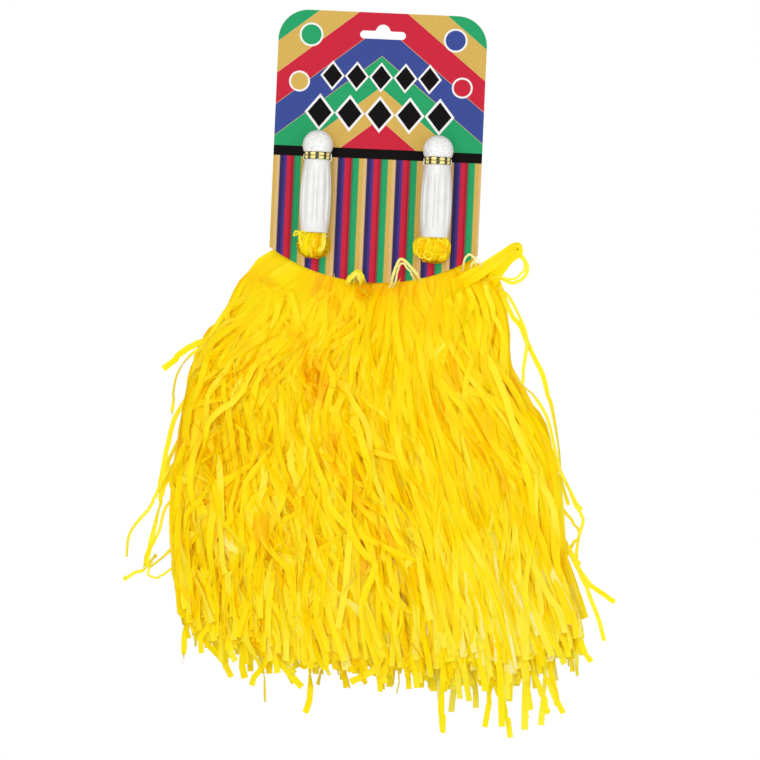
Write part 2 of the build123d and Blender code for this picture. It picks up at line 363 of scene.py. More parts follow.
def handle_material(name, high, mottle, mottle_scale, grain, grain_scale):
    """White moulded plastic with a satin skin, a mottle and a fine grain."""
    graph = Graph(bpy.data.materials.new(name))
    cloud = graph.noise(mottle_scale, 2.0)
    low = high - mottle
    colour = graph.steps(cloud, [(0.35, (low, low, low - 0.01)), (0.65, (high, high, high - 0.01))])
    roughness = graph.math("MULTIPLY_ADD", graph.noise(260.0, 3.0), 0.14, 0.24)
    normal = graph.bump(graph.noise(grain_scale, 2.0, 0.6), grain)
    return graph.surface(graph.principled(
        Base_Color=colour, Roughness=roughness, Normal=normal,
        Subsurface_Weight=0.12, Subsurface_Radius=(0.004, 0.004, 0.004), Subsurface_Scale=0.5,
    ))


def film_material():
    """Thin yellow film that lets light through. Each strip has its own shade, which also carries painted
    shade and painted light, and creases along it.
    """
    graph = Graph(bpy.data.materials.new("yellow_film"))
    cloud = graph.noise(60.0)
    shade = graph.math("MULTIPLY", graph.value("shade"), SHADE_SHARE)
    colour = graph.steps(graph.math("MULTIPLY_ADD", cloud, CLOUD_SHARE, shade), FILM_SHADES)
    creases = graph.math("MULTIPLY_ADD", graph.value("across"), 3.0, graph.noise(420.0, 3.0, 0.6))
    ripple = graph.math("SINE", graph.math("MULTIPLY", creases, 4.0))
    normal = graph.bump(ripple, 0.00002, 0.4)
    face = graph.principled(
        Base_Color=colour, Roughness=graph.math("MULTIPLY_ADD", cloud, 0.2, 0.26),
        Normal=normal, Specular_IOR_Level=0.12,
    )
    through = graph.fed("BsdfTranslucent", Color=colour, Normal=normal)
    return graph.surface(graph.mix_shaders(TRANSLUCENT_SHARE, face, through))


def yarn_material(name, colour, dark, metallic, roughness):
    """A twisted ply, with fine fibres."""
    graph = Graph(bpy.data.materials.new(name))
    fibres = graph.noise(5200.0, 3.0, 0.7)
    return graph.surface(graph.principled(
        Base_Color=graph.steps(fibres, [(0.3, dark), (0.65, colour)]),
        Metallic=metallic, Roughness=graph.math("MULTIPLY_ADD", fibres, 0.2, roughness),
        Normal=graph.bump(fibres, 0.00012),
    ))


def tape_material():
    """Clear tape, which shows the film under it."""
    graph = Graph(bpy.data.materials.new("clear_tape"))
    cloud = graph.noise(200.0)
    return graph.surface(graph.principled(
        Base_Color=graph.steps(cloud, [(0.3, (0.72, 0.68, 0.42)), (0.7, (0.82, 0.78, 0.52))]),
        Roughness=graph.math("MULTIPLY_ADD", cloud, 0.2, 0.2),
        Normal=graph.bump(cloud, 0.0001),
    ))


# From a deep orange that paints shade to a pale cream that paints highlights and light through thin film
FILM_SHADES = [
    (0.0, (0.98, 0.60, 0.0)), (0.11, (0.998, 0.73, 0.0005)), (0.56, (0.998, 0.85, 0.003)),
    (0.80, (0.99, 0.90, 0.06)), (1.0, (0.96, 0.92, 0.50)),
]
SHADE_SHARE, CLOUD_SHARE = 0.58, 0.27  # what a strip's shade, with its painted shade and painted light, and a cloudy pattern add to its colour
TRANSLUCENT_SHARE = 0.20
FILM = film_material()
GOLD_YARN = yarn_material("gold_yarn", (1.0, 0.93, 0.42), (0.97, 0.80, 0.22), 0.05, 0.25)
BLACK_YARN = yarn_material("black_yarn", (0.012, 0.010, 0.010), (0.004, 0.004, 0.004), 0.0, 0.55)


def dress(node, material):
    """Gives a CAD node its finish."""
    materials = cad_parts[node].data.materials
    materials.clear()
    materials.append(material)


def dress_cad_nodes():
    knob = handle_material("white_plastic_knob", 0.93, 0.18, 560.0, 0.0004, 620.0)
    grip = handle_material("white_plastic_grip", 0.80, 0.05, 90.0, 0.00005, 900.0)
    tape = tape_material()
    dress("display_card", card_material())
    for side in SIDES:
        dress(f"handle_knob_{side}", knob)
        dress(f"handle_grip_{side}", grip)
        dress(f"roll_tape_{side}", tape)


dress_cad_nodes()

# --- Meshes from lines ---

SHARP_ANGLE = math.radians(40)
TUBE_SIDES = 8


def film_piece(name, points, smooth_shaded, **values):
    """A piece of film from grids of points, with one number per point for each named value."""
    index = np.arange(points[..., 0].size).reshape(points.shape[:-1])
    corners = (index[..., :-1, :-1], index[..., :-1, 1:], index[..., 1:, 1:], index[..., 1:, :-1])
    faces = np.stack(corners, -1).reshape(-1, 4)
    mesh = bpy.data.meshes.new(name)
    mesh.from_pydata(points.reshape(-1, 3).tolist(), [], faces.tolist())
    for key, numbers in values.items():
        data = mesh.attributes.new(key, "FLOAT", "POINT").data
        data.foreach_set("value", numbers.astype(np.float32).ravel())
    mesh.polygons.foreach_set("use_smooth", np.full(len(mesh.polygons), smooth_shaded))
    mesh.set_sharp_from_angle(angle=SHARP_ANGLE)
    mesh.materials.append(FILM)
    piece = add_object(name, mesh)
    return piece


def unit(v):
    return v / np.maximum(np.linalg.norm(v, axis=-1, keepdims=True), 1e-12)


def tangents(lines):
    return unit(np.gradient(lines, axis=-2))


def ribbons(name, lines, outward, twist, width, cup, shade):
    """One piece of many flat strips. lines is (strip, step, 3), outward is where a strip's face looks
    before twist turns it, cup is how far its middle bulges, as a share of its width, and shade is one
    number for each strip, or for each of its steps."""
    along = tangents(lines)
    side = unit(np.cross(along, outward))
    face = np.cross(side, along)
    c, s = np.cos(twist)[..., None], np.sin(twist)[..., None]
    side, face = side * c + face * s, face * c - side * s
    across = np.array([-1.0, 0.0, 1.0])
    bulge = 1 - across**2
    points = (
        lines[:, :, None]
        + side[:, :, None] * across[:, None] * width[:, None, None, None] / 2
        + face[:, :, None] * bulge[:, None] * (cup * width[:, None])[..., None, None]
    )
    shades = np.broadcast_to(shade[..., None], points.shape[:-1])
    return film_piece(name, points, False, shade=shades, across=np.broadcast_to(across, shades.shape))


def tube_parts(line, radius):
    """Points and faces of a closed round tube along a line."""
    along = tangents(line)
    first = np.cross(along[0], [0.3, 0.5, 0.81])
    normals = [unit(first)]
    for t in along[1:]:
        n = normals[-1]
        normals.append(unit(n - t * (n @ t)))
    normals = np.array(normals)
    binormals = np.cross(along, normals)
    turn = np.linspace(0, 2 * math.pi, TUBE_SIDES, endpoint=False)
    ring = normals[:, None] * np.cos(turn)[:, None] + binormals[:, None] * np.sin(turn)[:, None]
    points = line[:, None] + ring * np.broadcast_to(radius, len(line))[:, None, None]
    index = np.arange(len(line) * TUBE_SIDES).reshape(-1, TUBE_SIDES)
    after = np.roll(index, -1, axis=1)
    faces = np.stack([index[:-1], after[:-1], after[1:], index[1:]], -1).reshape(-1, 4).tolist()
    faces += [index[0, ::-1].tolist(), index[-1].tolist()]
    return points.reshape(-1, 3), faces


def join_parts(name, parts):
    """One piece from several (points, faces, material) parts."""
    mesh = bpy.data.meshes.new(name)
    points, faces, slots, materials = [], [], [], []
    for part_points, part_faces, material in parts:
        if material not in materials:
            materials.append(material)
        start = sum(len(p) for p in points)
        points.append(part_points)
        faces += [[start + i for i in face] for face in part_faces]
        slots += [materials.index(material)] * len(part_faces)
    mesh.from_pydata(np.concatenate(points).tolist(), [], faces)
    for material in materials:
        mesh.materials.append(material)
    mesh.polygons.foreach_set("material_index", slots)
    mesh.polygons.foreach_set("use_smooth", np.ones(len(mesh.polygons), bool))
    piece = add_object(name, mesh)
    return piece


def run_along(line):
    """How far along a line each of its points lies."""
    return np.concatenate([[0], np.cumsum(np.linalg.norm(np.diff(line, axis=0), axis=1))])


def resample(line, step):
    """The same line, with points a step apart."""
    line = np.asarray(line, float)
    run = run_along(line)
    at = np.linspace(0, run[-1], max(8, int(run[-1] / step)))
    return np.stack([np.interp(at, run, line[:, i]) for i in range(3)], -1)


def curve_through(points, steps):
    """A smooth line through a few points: Catmull-Rom."""
    p = np.asarray(points, float)
    p = np.concatenate([[2 * p[0] - p[1]], p, [2 * p[-1] - p[-2]]])
    spans = len(p) - 3
    at = np.linspace(0, spans - 1e-9, steps)
    k = at.astype(int)
    t = (at - k)[:, None]
    a, b, c, d = p[k], p[k + 1], p[k + 2], p[k + 3]
    bend, swerve = 2 * a - 5 * b + 4 * c - d, 3 * b - a - 3 * c + d
    return 0.5 * (2 * b + (c - a) * t + bend * t**2 + swerve * t**3)


# --- Neck ties: a cord of gold plies with black spots, twice round the neck ---

CORD_RADIUS = 1.2 * MM
CORD_GAP = 0.1 * MM
TIE_REACH = 8.15 * MM  # from the handle's axis to the cord's middle
TIE_BEND = 1.6 * MM
PLY_PITCH = 6.0 * MM
GOLD_PLIES = 4
PLY_REACH, PLY_RADIUS = 0.56, 0.42  # of a gold ply, as shares of the cord's radius
SPOT_PITCH = 5.4 * MM  # from one black spot to the next
SPOT_ANGLE = 0.6  # of the two black plies, about the cord's outer side
CORD_STEP = 0.45 * MM
KNOT_RADIUS = 3.0 * MM
TAIL_END = (5.2, 1.5, -17.0)  # mm, from the knot, and how far the tail bows on the way
TAIL_BOW = (2.4, 0.0, 1.0)


def turn_line(axis_x, handle_y, z):
    """Round the front of the neck, through the card on both sides, and together behind it."""
    back = card_back_y + CORD_GAP + CORD_RADIUS
    front_arc = [
        (axis_x + TIE_REACH * math.cos(a), handle_y + TIE_REACH * math.sin(a), z)
        for a in np.linspace(-math.pi, 0, 40)
    ]
    left = [(axis_x, back, z), (axis_x - TIE_REACH + TIE_BEND, back, z)]
    left += [
        (axis_x - TIE_REACH + TIE_BEND * (1 - math.sin(a)), back - TIE_BEND * (1 - math.cos(a)), z)
        for a in np.linspace(0, math.pi / 2, 8)
    ]
    right = [(2 * axis_x - x, y, z) for x, y, z in reversed(left)]
    return resample(left + front_arc + right, CORD_STEP)


def cord(line, radius=CORD_RADIUS):
    """Gold plies wound on each other, and two black ones that come up at spots on the outer side."""
    along = tangents(line)
    run = run_along(line)
    run = run - run[-1] / 2
    side = np.cross(along, [0.0, 0.0, 1.0])
    weak = np.linalg.norm(side, axis=1) < 0.3
    side[weak] = np.cross(along[weak], [0.0, 1.0, 0.0])
    side = unit(side)
    lift = np.cross(side, along)
    parts = []
    for ply in range(GOLD_PLIES):
        turn = (run / PLY_PITCH + ply / GOLD_PLIES) * 2 * math.pi
        off = radius * PLY_REACH
        ply_line = line + off * (side * np.cos(turn)[:, None] + lift * np.sin(turn)[:, None])
        parts.append((*tube_parts(ply_line, radius * PLY_RADIUS), GOLD_YARN))
    shown = smooth(-0.1, 0.5, np.cos(run / SPOT_PITCH * 2 * math.pi))
    for turn in (-SPOT_ANGLE, SPOT_ANGLE):
        off = (radius * (0.1 + 0.5 * shown))[:, None]
        ply_line = line + off * (side * math.cos(turn) + lift * math.sin(turn))
        parts.append((*tube_parts(ply_line, radius * (0.2 + 0.34 * shown)), BLACK_YARN))
    return parts


def knot_line(centre):
    """An overhand knot, with its two ends hanging as tails."""
    turn = np.linspace(0.35, 2 * math.pi - 0.35, 60)
    size = KNOT_RADIUS * 0.36
    x = size * (np.sin(turn) + 2 * np.sin(2 * turn))
    z = size * (np.cos(turn) - 2 * np.cos(2 * turn))
    y = -size * 0.9 * np.sin(3 * turn)
    return centre + np.stack([x, y, z], -1)


def neck_tie(side):
    """Two turns of cord about the neck, with a knot and its tails behind the card."""
    node = f"neck_tie_{side}"
    low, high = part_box(node)
    axis_x = (low.x + high.x) / 2
    handle_y = middle(f"handle_grip_{side}")[1]
    tie_z = high.z - KNOT_RADIUS - 0.2 * MM
    parts = []
    for turn in (-1, 1):
        line = turn_line(axis_x, handle_y, tie_z + turn * (CORD_RADIUS + CORD_GAP / 2))
        parts += cord(line)
    knot = np.array([axis_x, card_back_y + CORD_GAP + KNOT_RADIUS * 0.95, tie_z])
    parts += cord(knot_line(knot), CORD_RADIUS * 0.85)
    for tail in (-1, 1):
        drop = np.linspace(0, 1, 30)[:, None]
        end = knot + (np.array(TAIL_END) * (tail, 1, 1) + (0, tail * 0.6, 0)) * MM
        bow = np.array(TAIL_BOW) * (tail, 1, 1) * MM
        line = knot + (end - knot) * drop + bow * np.sin(drop * math.pi)
        parts += cord(resample(line, CORD_STEP))
    piece = join_parts(f"cord_{node}", parts)
    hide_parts(node)
    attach(piece, "pack")


# --- Rolled heads of the film sheets, inside the handles ---

ROLL_TURNS = 12
ROLL_CORE = 1.0 * MM  # radius at which the roll starts
ROLL_PLAY = 0.05 * MM  # between the roll and its place in the CAD model
ROLL_LEVELS = 5


def film_roll(side):
    """One sheet wound up on itself, a little out of round."""
    node = f"film_roll_{side}"
    low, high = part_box(node)
    centre = (low + high) / 2
    outer = (high.x - low.x) / 2 - ROLL_PLAY
    around = np.linspace(0, ROLL_TURNS, ROLL_TURNS * 24)
    angle = around * 2 * math.pi
    radius = ROLL_CORE + (outer - ROLL_CORE) * around / ROLL_TURNS
    wobble = 1 + 0.004 * np.sin(angle * 3.1)
    points = np.empty((len(around), ROLL_LEVELS, 3))
    points[..., 0] = (centre.x + radius * wobble * np.cos(angle))[:, None]
    points[..., 1] = (centre.y + radius * wobble * np.sin(angle))[:, None]
    points[..., 2] = np.linspace(low.z, high.z, ROLL_LEVELS)
    shade = np.full(points.shape[:2], 0.5)
    piece = film_piece(f"rolled_{node}", points, True, shade=shade, across=shade * 0)
    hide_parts(node)
    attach(piece, "pack")


# --- Streamers ---

STRIP_WIDTH = 5.0 * MM
BAND_STRIPS = 4  # strips slit from one band of film, which lie edge to edge near the card
STEPS = 42
# How far a skirt's outer side stands from the middle of the pack, by its fall from the gather (mm)
OUTER_SIDE = {
    "left": [
        (0, 66), (10, 70), (19, 76), (34, 90), (53, 98), (67, 105), (91, 117), (133, 125),
        (175, 129), (231, 129), (287, 121), (330, 113),
    ],
    "right": [
        (0, 74), (19, 85), (53, 92), (80, 94), (95, 96), (110, 105), (133, 118), (150, 127),
        (175, 133), (206, 135), (231, 138), (262, 147), (287, 154), (350, 160),
    ],
}
# Where the two skirts meet, by how far they have fallen: both are swept to the right lower down (mm)
SEAM = [(0, 4), (40, 2), (80, -7), (110, -8), (150, 5), (200, 26), (250, 45), (290, 54), (350, 60)]
HEM_DROP = {"left": 306 * MM, "right": 309 * MM}
HEM_FRAY = {"left": 6.0 * MM, "right": 7.5 * MM}  # how far the lengths of single strips differ
LONGEST_DROP = 335 * MM
HEM_CURVE = {"left": 0.085, "right": 0.09}  # share of the fall that strips lose at a skirt's outer side
DISORDER = {"left": 1.0, "right": 0.75}  # how far free strips stray from their bands
WILD_SHARE = 0.15  # share of the strips that stray farthest
# Straight runs between the creases of a strip, and how far aside the creases lie. The same for a band
CREASE_RUNS = {"left": 11, "right": 6}
CREASE_SIZE = {"left": 10.0 * MM, "right": 9.0 * MM}
BAND_RUNS = {"left": 5, "right": 3}
BAND_LEAN = 12 * MM
TIP_LEAN = {"left": (0.0, 0.15), "right": (0.02, 0.17)}  # how far tips lean to the right: mean and spread
# Share of a strip's fall at which it starts to come free of its band, and over which it does
SLIT_FROM = {"left": (0.04, 0.20), "right": (0.05, 0.22)}
SLIT_RUN = 0.18
FAN_CENTRE = {"left": 0.25, "right": 0.12}  # share of the skirt's width from which strips fan out
# How much paler tips are painted than the middle of a strip, as painted light through thin film, and how
# much deeper its top is painted, as the card's painted shadow
TIP_PAINTED_LIGHT = {"left": 0.24, "right": 0.40}
TOP_PAINTED_SHADOW = {"left": 0.15, "right": 0.45}
RICH_SHARE = 0.07  # share of the bands that have a deeper colour
# How far the skirts reach to the front and to the back, and the fall over which they get there
FRONT_BULGE, FRONT_FALL = 17 * MM, 60 * MM
BACK_DEPTH, BACK_FALL = 43 * MM, 85 * MM
NECK_DEPTH = 9 * MM  # how far the skirts' back stands behind the gather's middle at its top
GATHER_SPREAD = (4.0, 2.5, 3.0)  # mm, how far bands start from the gather's middle
CARD_GAP = 0.8 * MM  # between the card's back and the nearest strip
LAYER_STRIPS = {"front": 1160, "middle": 360, "back": 500}
LAYER_SPAN = {"front": (-1.0, -0.35), "middle": (-0.35, 0.35), "back": (0.35, 1.0)}
LAYER_FACING = {"front": 1.8, "middle": 0.9, "back": -1.8}  # how much the strips look forward
SIDE_PULL = 0.85  # how much of what strays past a skirt's outer side is drawn back
SEAM_PULL = {"front": 0.3, "middle": 0.9, "back": 0.9}  # the same for what strays past the seam


def at_drop(table, drop):
    falls, places = np.array(table).T * MM
    return np.interp(drop, falls, places)


class Strips:
    """Random numbers and random lines for strips, or for bands whose strips share them."""

    def __init__(self, rng, count, steps, shared_by=1):
        self.rng, self.count, self.shared_by = rng, count, shared_by
        self.t = np.linspace(0, 1, steps)[None, :]

    def each(self, numbers):
        return np.repeat(numbers, self.shared_by, axis=0)

    def uniform(self, low, high):
        return self.each(self.rng.uniform(low, high, (self.count, 1)))

    def normal(self, mean, spread):
        return self.each(self.rng.normal(mean, spread, (self.count, 1)))

    def wander(self, size, turns):
        """Slow random waves along each strip."""
        total = 0
        for k in range(1, turns + 1):
            phase = self.uniform(0, 2 * math.pi)
            total = total + self.normal(0, 1 / k) * np.sin(self.t * math.pi * k * 1.3 + phase)
        return total * size

    def creased(self, size, runs):
        """Straight runs that meet at bends, as in creased film. The later ones are longer."""
        ends = np.sort(self.rng.uniform(0, 1, (self.count, runs - 1)) ** 1.3, axis=1)
        ends = np.concatenate([np.zeros((self.count, 1)), ends, np.ones((self.count, 1))], axis=1)
        off = self.rng.normal(0, 1, (self.count, runs + 1)) * size
        off[:, -1] = 0.7 * off[:, -2] + 0.3 * off[:, -1]
        return self.each(np.array([np.interp(self.t[0], at, by) for at, by in zip(ends, off)]))


class Flow:
    """A smooth random field over a skirt: like for neighbouring strips, and unlike for deeper ones."""

    def __init__(self, rng, across, along, waves=9):
        self.across = rng.normal(0, 1 / across, waves)
        self.along = rng.choice((-1, 1), waves) * rng.uniform(0.5, 1.4, waves) / along
        self.depth = rng.normal(0, 3.0, waves)
        self.phase = rng.uniform(0, 2 * math.pi, waves)

    def __call__(self, x, z, v):
        total = 0
        for a, b, c, phase in zip(self.across, self.along, self.depth, self.phase):
            total = total + np.sin(a * x + b * z + c * v + phase)
        return total / math.sqrt(len(self.phase) / 2)


def flow(seed, across, along):
    return Flow(np.random.default_rng(seed), across * MM, along * MM)


# What moves neighbouring strips together, sideways and in depth
FLOWS = {"left": (flow(7, 24, 20), flow(8, 20, 20)), "right": (flow(17, 24, 30), flow(18, 20, 20))}
FLOW_SIDEWAYS = {"left": 3.0 * MM, "right": 1.5 * MM}
FLOW_DEPTH = 3.0 * MM
SHADE_PATCHES = flow(27, 7, 11)  # where patches of painted shade fall on the strips
# how dark the painted shade of these patches is
PATCH_SHADE_STRENGTH = {"left": 0.75, "right": 0.5}


def layer_places(rng, span, count):
    """Places in a skirt's round section, mostly near its skin: -1 to 1 across, and -1 (front) to 1."""
    lateral, depth = [], []
    while len(lateral) < count:
        angle = rng.uniform(0, 2 * math.pi)
        radius = 1 - rng.beta(1.0, 3.6) * 0.6
        u = radius * math.copysign(abs(math.cos(angle)) ** 0.75, math.cos(angle))
        v = radius * math.copysign(abs(math.sin(angle)) ** 0.75, math.sin(angle))
        if span[0] <= v <= span[1]:
            lateral.append(u)
            depth.append(v)
    return np.array(lateral), np.array(depth)


def strip_lengths(side, rng, count):
    """Cut to one length, some torn shorter and some drawn out longer."""
    cut = HEM_DROP[side] - 3.2 * HEM_FRAY[side]
    torn = cut * (1 - rng.beta(1.1, 3.2, (count, 1)) * 0.15)
    return np.minimum(torn + rng.exponential(HEM_FRAY[side], (count, 1)), LONGEST_DROP)


def side_by_side(lines, outward, number, t, free):
    """Strips of one band lie edge to edge until they are slit, and behind the card down to its edge."""
    sideways = unit(np.cross(tangents(lines), outward))
    spread = smooth(0.01, 0.08, t) * (0.985 - 0.25 * free)
    lines = lines + sideways * (number * STRIP_WIDTH * spread)[..., None]
    below_card = card_edge_z(lines[..., 0]) - lines[..., 2]
    behind = np.where(below_card < 4 * MM, card_back_y + CARD_GAP, -1.0)
    lines[..., 1] = np.maximum(lines[..., 1], behind)
    return lines


def painted_depth_shade(side, x, z, v, share, sink, t):
    """Painted shade for a place: deep inside the skirt, in a patch of painted shade, and the card's
    painted shadow beside the seam just below the card.
    """
    painted_shade = smooth(0.25, 0.7, sink) * smooth(1.75, 1.3, sink)
    painted_shade = painted_shade * smooth(1.0, 0.7, np.abs(2 * share - 1)) * smooth(1.0, 0.8, t)
    patch_shade = smooth(0.3, 1.5, SHADE_PATCHES(x, z, 0.3 * v)) * smooth(1.0, 0.8, t)
    card_shadow = smooth(0.45, 0.05, share) * smooth(0.17, 0.09, t)
    return np.maximum(painted_shade, PATCH_SHADE_STRENGTH[side] * patch_shade) + 0.8 * card_shadow


def skirt_lines(side, layer, bands, strips):
    """Lines and outward directions of one layer of one skirt, band by band, and how free and how
    disorderly their steps are, and how much painted shade they get."""
    sign = SIDES[side]
    rng, t = strips.rng, strips.t
    root = middle(f"film_gather_{side}")
    places = layer_places(rng, LAYER_SPAN[layer], bands.count)
    u, v = (bands.each(place)[:, None] for place in places)
    number = np.tile(np.arange(BAND_STRIPS) - (BAND_STRIPS - 1) / 2, bands.count)[:, None]
    wild = strips.uniform(0, 1) < WILD_SHARE
    slit = bands.uniform(*SLIT_FROM[side])
    free = smooth(slit, slit + SLIT_RUN, t)
    mess = free * np.where(wild, 1.4, 1.0) * DISORDER[side]
    tangle = mess * (1 - 0.45 * smooth(0.6, 1.0, t))
    lengths = strip_lengths(side, rng, strips.count)
    drop = lengths * t
    # sideways: between the seam and the outer side, with the strips' own wandering
    inner = at_drop(SEAM, drop) + sign * 0.5 * MM
    outer = sign * (at_drop(OUTER_SIDE[side], drop) - 4 * MM)
    drift = strips.normal(0, 1) * np.where(wild, 0.30, 0.08) * smooth(0.15, 0.9, t)
    fan = bands.uniform(0.0, 0.8) * smooth(0.42, 0.02, t)
    share = (u * sign + 1) / 2
    share = share + (FAN_CENTRE[side] - share) * fan + drift * mess
    share = np.clip(share, -0.02, 1.0)
    x = inner + (outer - inner) * share
    x += bands.wander(1.8 * MM, 3) * smooth(0.08, 0.4, t)
    x += bands.creased(BAND_LEAN, BAND_RUNS[side]) * smooth(0, 0.12, t) * smooth(1.4, 0.5, t)
    flow_x, flow_y = FLOWS[side]
    stirred = smooth(0.10, 0.34, t) * (1 - 0.45 * smooth(0.65, 1.0, t))
    away_from_sides = 1 - 0.6 * np.abs(2 * share - 1) ** 3
    x += flow_x(x, root[2] - drop, v * 2) * FLOW_SIDEWAYS[side] * stirred * away_from_sides
    x += strips.wander(1.0 * MM, 3) * mess
    x += strips.creased(CREASE_SIZE[side], CREASE_RUNS[side]) * tangle
    tip_start = strips.uniform(0.55, 0.85)
    tip_lean = strips.normal(*TIP_LEAN[side]) * (1 - 0.5 * np.abs(u))
    x += tip_lean * np.maximum(t - tip_start, 0) * lengths
    x -= sign * SIDE_PULL * np.maximum((x - outer) * sign, 0)
    across_seam = np.maximum((inner + sign * 3 * MM - x) * sign, 0)
    x += sign * SEAM_PULL[layer] * across_seam
    out_at_hem = 2 * np.clip((x[:, -1:] - inner[:, -1:]) / (outer - inner)[:, -1:], 0, 1.05) - 1
    drop = drop * (1 - HEM_CURVE[side] * np.maximum(out_at_hem, 0) ** 2)
    # height, with a small rise over the gathered neck
    rise = bands.uniform(0, 9 * MM)
    z = root[2] - drop + rise * np.sin(np.clip(t / 0.1, 0, 1) * math.pi) * (1 - 0.6 * np.abs(share - 0.5))
    folds = strips.creased(0.65 * CREASE_SIZE[side], CREASE_RUNS[side])
    z += folds * tangle * smooth(1.0, 0.85, t)
    # depth, from behind the card to the front and to the back
    below_card = card_edge_z(x) - z
    front = card_back_y + 1.2 * MM - (FRONT_BULGE + card_back_y) * smooth(0, FRONT_FALL, below_card)
    back = root[1] + NECK_DEPTH + (BACK_DEPTH - root[1] - NECK_DEPTH) * smooth(0, BACK_FALL, drop)
    sink = np.abs(v + 1 + strips.creased(0.18, 10) * mess)
    sink = 2 - np.abs(2 - sink)
    y = front + (back - front) * sink / 2 + flow_y(x, z, v) * FLOW_DEPTH * stirred * (1 - sink / 2)
    y += bands.wander(1.0 * MM, 3) * smooth(0.1, 0.3, t)
    y += strips.wander(1.0 * MM, 4) * mess
    lines = np.stack([x, y, z], -1)
    middle_x = np.broadcast_to((inner + outer) / 2, x.shape)
    axis = np.stack([middle_x, np.full(x.shape, root[1] + 4 * MM), z], -1)
    outward = unit(unit(lines - axis) + FRONT * LAYER_FACING[layer])
    lines = side_by_side(lines, outward, number, t, free)
    # all of them start in the gather
    start = root + bands.each(rng.normal(0, 1, (bands.count, 3))) * np.array(GATHER_SPREAD) * MM
    gathered = (1 - smooth(0, 0.065, t))[..., None]
    lines = lines * (1 - gathered) + start[:, None] * gathered
    lines[:, 1:-1] = 0.2 * lines[:, :-2] + 0.6 * lines[:, 1:-1] + 0.2 * lines[:, 2:]
    return lines, outward, free, mess, painted_depth_shade(side, x, z, v, share, sink, t)


def streamers(side, layer, seed):
    """One layer of one skirt. Each band has a shade, and so has each strip once it is free; painted light
    pales the tips, and painted shade darkens deep places, patches and the tops under the card.
    """
    rng = np.random.default_rng(seed)
    bands = Strips(rng, LAYER_STRIPS[layer] // BAND_STRIPS, STEPS, BAND_STRIPS)
    strips = Strips(rng, bands.count * BAND_STRIPS, STEPS)
    lines, outward, free, mess, painted_shade = skirt_lines(side, layer, bands, strips)
    twist = bands.wander(0.12, 2)
    twist = twist + (strips.normal(0, 0.25) + strips.wander(0.35, 3)) * mess
    twist = twist + strips.creased(0.55, 9) * mess
    width = STRIP_WIDTH * rng.uniform(0.8, 1.0, strips.count)
    cup = strips.normal(0, 0.10) * free
    shade = bands.uniform(0.3, 0.9)
    shade = 0.85 * (shade + strips.uniform(-0.34, 0.34) * free) + 0.04
    rich = (bands.uniform(0, 1) < RICH_SHARE) * 0.5
    # painted light at the tips, painted shade deep in the skirt and in patches, and the card's painted
    # shadow at the tops
    shade = shade + TIP_PAINTED_LIGHT[side] * smooth(0.35, 1.0, strips.t) - 0.8 * painted_shade - rich
    shade = shade - TOP_PAINTED_SHADOW[side] * smooth(0.13, 0.05, strips.t)
    piece = ribbons(f"streamers_{layer}_{side}", lines, outward, twist, width, cup, shade)
    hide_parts(f"skirt_{layer}_{side}")
    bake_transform(piece)


# Strips that stand out from the skirts: how they end, how far they come forward (mm), their width beside
# an ordinary strip's, how much they turn, and the places that they pass: x and how far below z = 0 (mm).
# Tucks are loops that come from the gathered neck and stand in front of the card's edge
LOOSE_LEFT = [
    ("free", 4, 0.9, 0.2, [(-90, 206), (-110, 223), (-121, 229), (-131, 237), (-143, 247)]),
    ("free", 6, 0.5, 0.6, [(-100, 212), (-110, 224), (-123, 235), (-132, 247), (-137, 262),
        (-137, 277)]),
    ("free", 5, 0.7, 0.5, [(-100, 228), (-119, 244), (-123, 262), (-133, 282), (-137, 300), (-140, 319),
        (-143, 331)]),
    ("free", 3, 0.6, 0.6, [(-104, 240), (-120, 258), (-127, 278), (-132, 300), (-138, 320),
        (-142, 334)]),
    ("free", 7, 0.5, 0.5, [(-118, 290), (-136, 318), (-142, 331), (-147, 343), (-155, 353), (-162, 364),
        (-164, 379)]),
    ("free", 4, 0.7, 0.4, [(-120, 300), (-138, 326), (-141, 340), (-144, 357), (-147, 372),
        (-149, 387)]),
    ("free", 2, 0.45, 0.6, [(-112, 300), (-128, 328), (-136, 345), (-140, 358), (-146, 374),
        (-149, 388)]),
    ("free", 5, 0.5, 0.5, [(-143, 378), (-149, 386), (-156, 391), (-164, 396)]),
    ("loop", 5, 0.35, 0.4, [(-132, 374), (-148, 388), (-142, 393), (-137, 391), (-129, 386),
        (-118, 380)]),
    ("free", 3, 0.4, 0.4, [(-112, 352), (-122, 362), (-130, 369), (-136, 378)]),
    ("free", 3, 0.8, 0.5, [(-110, 390), (-119, 420), (-121, 445), (-120, 452)]),
    ("free", 10, 0.8, 0.5, [(-66, 420), (-67, 441), (-63, 476)]),
    ("tuck", 12, 0.7, 0.3, [(-18, 184), (-15, 178), (-11, 173), (-8, 176), (-6, 184)]),
    ("tuck", 13, 0.6, 0.4, [(-19, 186), (-16, 179), (-12, 175), (-8, 178), (-7, 186)]),
    ("tuck", 11, 0.6, 0.4, [(-14, 184), (-12, 178), (-9, 174), (-7, 178), (-4, 186)]),
]
